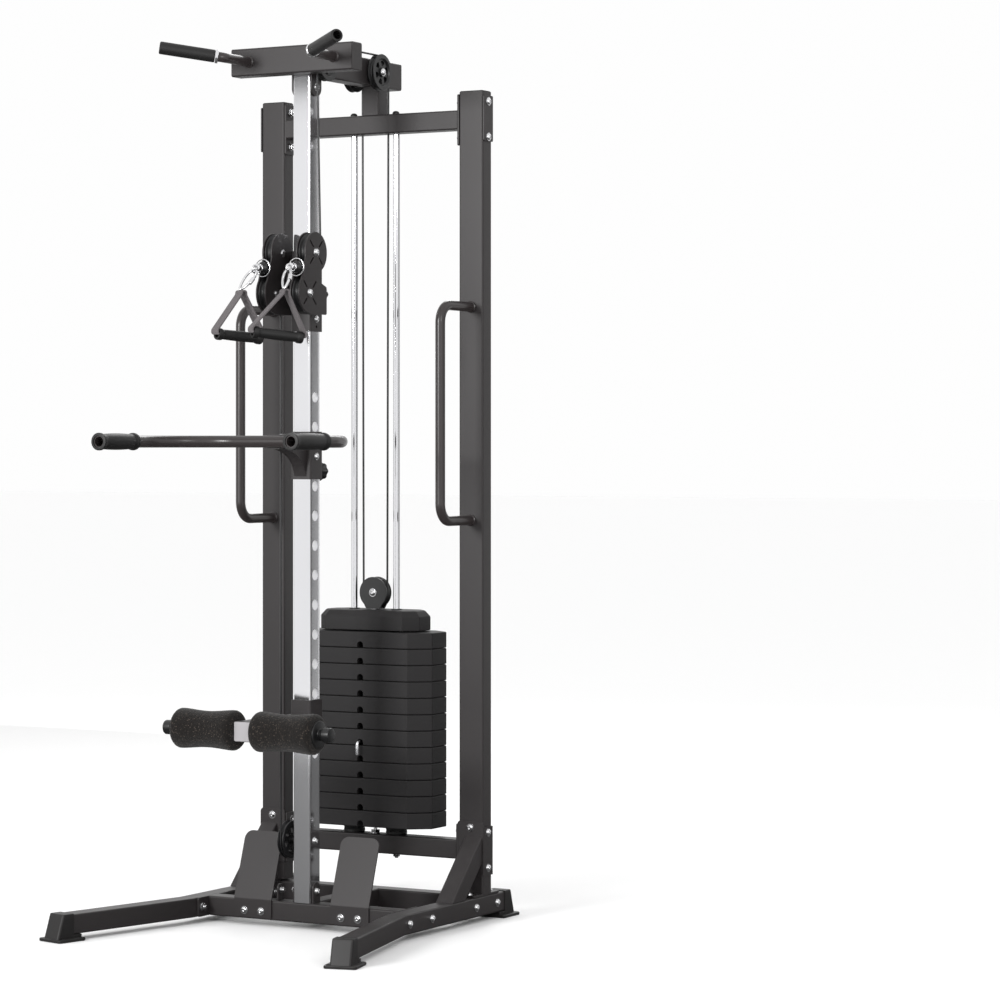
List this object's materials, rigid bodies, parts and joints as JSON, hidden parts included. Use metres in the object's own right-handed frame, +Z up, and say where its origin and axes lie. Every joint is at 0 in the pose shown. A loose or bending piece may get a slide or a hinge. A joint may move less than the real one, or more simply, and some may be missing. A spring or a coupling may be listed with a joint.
{
  "type": "cable tower home gym",
  "caption": "Free-standing cable tower: weight stack, chrome post with sliding pulley carriage, two strap handles, dip bar, leg hold rollers and pull-up bar.",
  "frame": {"origin": "on the floor under the middle of the bounding box", "axes": "+Z up, -Y towards the user, who stands in front, +X to the user's right"},
  "size_m": [0.9154, 1.0211, 2.2405],
  "materials": {
    "powder": "fine textured charcoal powder coat",
    "chrome": "bright polished",
    "steel": "bright zinc plate",
    "plastic": "moulded black, slight sheen",
    "rubber": "moulded black grip rubber",
    "casting": "dark grey coated",
    "foam": "open-cell foam with pale specks",
    "webbing": "woven nylon",
    "cable": "smooth black sheath over steel wire"
  },
  "bodies": {
    "frame": {"base_rail_right": "powder", "base_rail_left": "powder", "base_frame": "powder", "foot_front_right": "plastic", "foot_front_left": "plastic", "foot_rear_right": "plastic", "foot_rear_left": "plastic", "foot_plate_right": "powder", "foot_plate_left": "powder", "upright_right": "powder", "upright_left": "powder", "brace_right": "powder", "brace_left": "powder", "grab_handle_right": "powder", "grab_handle_left": "powder", "lower_beam": "powder", "head_frame": "powder", "pullup_bar": "powder", "post": "chrome", "plates_resting": "casting", "guide_rod_right": "chrome", "guide_rod_left": "chrome", "cable_left_upper": "cable", "cable_right_upper": "cable", "cable_left_run": "cable", "cable_right_run": "cable", "cable_stack_left": "cable", "cable_stack_right": "cable"},
    "stack": {"plates_lifted": "casting", "stack_cap": "casting", "selector_rod": "steel", "cable_float": "cable"},
    "floating_pulley": {"pulley_floating": "plastic"},
    "pin": {"selector_pin": "steel"},
    "carriage": {"carriage": "powder", "cable_carriage_left": "cable", "cable_carriage_right": "cable"},
    "carriage_pin": {"carriage_knob": "plastic"},
    "dip": {"dip_bar": "powder", "dip_grip_right": "rubber", "dip_grip_left": "rubber"},
    "dip_pin": {"dip_knob": "plastic"},
    "leg": {"leg_hold": "powder"},
    "leg_pin": {"leg_knob": "plastic"},
    "foam_right": {"foam_roller_right": "foam"},
    "end_right": {"cable_end_right": "steel"},
    "grip_right": {"handle_right": "webbing"},
    "foam_left": {"foam_roller_left": "foam"},
    "end_left": {"cable_end_left": "steel"},
    "grip_left": {"handle_left": "webbing"},
    "wheel_top_rear_left": {"pulley_top_rear_left": "plastic"},
    "wheel_top_rear_right": {"pulley_top_rear_right": "plastic"},
    "wheel_top_front_left": {"pulley_top_front_left": "plastic"},
    "wheel_top_front_right": {"pulley_top_front_right": "plastic"},
    "wheel_low": {"pulley_low": "plastic"},
    "wheel_carriage_upper_left": {"pulley_carriage_upper_left": "plastic"},
    "wheel_carriage_lower_left": {"pulley_carriage_lower_left": "plastic"},
    "wheel_carriage_upper_right": {"pulley_carriage_upper_right": "plastic"},
    "wheel_carriage_lower_right": {"pulley_carriage_lower_right": "plastic"}
  },
  "joints": [
    {"name": "stack_lift", "type": "slide", "parent": "frame", "child": "stack", "axis": [0, 0, 1], "range_m": [0, 1], "deforming": ["cable_stack_left", "cable_stack_right"]},
    {"name": "carriage_slide", "type": "slide", "parent": "frame", "child": "carriage", "axis": [0, 0, 1], "range_m": [-0.15, 0.3], "deforming": ["cable_left_run", "cable_right_run"]},
    {"name": "dip_slide", "type": "slide", "parent": "frame", "child": "dip", "axis": [0, 0, 1], "range_m": [-0.3, 0]},
    {"name": "leg_slide", "type": "slide", "parent": "frame", "child": "leg", "axis": [0, 0, 1], "range_m": [-0.15, 0.15]},
    {"name": "carriage_pin_pull", "type": "slide", "parent": "carriage", "child": "carriage_pin", "axis": [0, 1, 0], "range_m": [0, 0.01], "stiffness_N_per_m": 600, "springref_m": -0.004},
    {"name": "dip_pin_pull", "type": "slide", "parent": "dip", "child": "dip_pin", "axis": [0, 1, 0], "range_m": [0, 0.01], "stiffness_N_per_m": 600, "springref_m": -0.004},
    {"name": "leg_pin_pull", "type": "slide", "parent": "leg", "child": "leg_pin", "axis": [0, 1, 0], "range_m": [0, 0.01], "stiffness_N_per_m": 600, "springref_m": -0.004},
    {"name": "pin_pull", "type": "slide", "parent": "stack", "child": "pin", "axis": [0, -1, 0], "range_m": [0, 0.12]},
    {"name": "pull_right", "type": "slide", "parent": "carriage", "child": "end_right", "axis": [0, -1, 0], "range_m": [0, 1]},
    {"name": "grip_swing_right", "type": "hinge", "parent": "end_right", "child": "grip_right", "pos_m": [0.064, -0.181, 1.612], "axis": [1, 0, 0], "range_deg": [-60, 15]},
    {"name": "foam_spin_right", "type": "hinge", "parent": "leg", "child": "foam_right", "pos_m": [0.13, -0.25, 0.5194], "axis": [1, 0, 0], "continuous": true},
    {"name": "pull_left", "type": "slide", "parent": "carriage", "child": "end_left", "axis": [0, -1, 0], "range_m": [0, 1]},
    {"name": "grip_swing_left", "type": "hinge", "parent": "end_left", "child": "grip_left", "pos_m": [-0.064, -0.181, 1.612], "axis": [1, 0, 0], "range_deg": [-60, 15]},
    {"name": "foam_spin_left", "type": "hinge", "parent": "leg", "child": "foam_left", "pos_m": [-0.13, -0.25, 0.5194], "axis": [1, 0, 0], "continuous": true},
    {"name": "spin_top_rear_left", "type": "hinge", "parent": "frame", "child": "wheel_top_rear_left", "pos_m": [-0.0395, 0.3205, 2.193], "axis": [1, 0, 0], "continuous": true},
    {"name": "spin_top_rear_right", "type": "hinge", "parent": "frame", "child": "wheel_top_rear_right", "pos_m": [0.0395, 0.3205, 2.193], "axis": [1, 0, 0], "continuous": true},
    {"name": "spin_top_front_left", "type": "hinge", "parent": "frame", "child": "wheel_top_front_left", "pos_m": [-0.0395, 0.111, 2.193], "axis": [1, 0, 0], "continuous": true},
    {"name": "spin_top_front_right", "type": "hinge", "parent": "frame", "child": "wheel_top_front_right", "pos_m": [0.0395, 0.0536, 2.193], "axis": [1, 0, 0], "continuous": true},
    {"name": "spin_low", "type": "hinge", "parent": "frame", "child": "wheel_low", "pos_m": [-0.05, 0.024, 0.222], "axis": [1, 0, 0], "continuous": true},
    {"name": "spin_carriage_upper_left", "type": "hinge", "parent": "carriage", "child": "wheel_carriage_upper_left", "pos_m": [-0.05, -0.0334, 1.7068], "axis": [1, 0, 0], "continuous": true},
    {"name": "spin_carriage_lower_left", "type": "hinge", "parent": "carriage", "child": "wheel_carriage_lower_left", "pos_m": [-0.05, -0.063, 1.6044], "axis": [1, 0, 0], "continuous": true},
    {"name": "spin_carriage_upper_right", "type": "hinge", "parent": "carriage", "child": "wheel_carriage_upper_right", "pos_m": [0.05, -0.0334, 1.7068], "axis": [1, 0, 0], "continuous": true},
    {"name": "spin_carriage_lower_right", "type": "hinge", "parent": "carriage", "child": "wheel_carriage_lower_right", "pos_m": [0.05, -0.063, 1.6044], "axis": [1, 0, 0], "continuous": true},
    {"name": "spin_floating", "type": "hinge", "parent": "stack", "child": "floating_pulley", "pos_m": [0, 0.364, 0.837], "axis": [0, 1, 0], "continuous": true}
  ],
  "couplings": [
    {"joint": "pull_right", "follows": "stack_lift", "ratio": 1},
    {"joint": "pull_left", "follows": "stack_lift", "ratio": 1},
    {"joint": "spin_top_rear_left", "follows": "stack_lift", "rad_per_m": 22.989},
    {"joint": "spin_top_rear_right", "follows": "stack_lift", "rad_per_m": 22.989},
    {"joint": "spin_top_front_left", "follows": "stack_lift", "rad_per_m": 22.989},
    {"joint": "spin_top_front_right", "follows": "stack_lift", "rad_per_m": 22.989},
    {"joint": "spin_carriage_lower_left", "follows": "stack_lift", "rad_per_m": 22.989},
    {"joint": "spin_low", "follows": "stack_lift", "rad_per_m": -22.989},
    {"joint": "spin_carriage_upper_right", "follows": "stack_lift", "rad_per_m": -22.989}
  ]
}
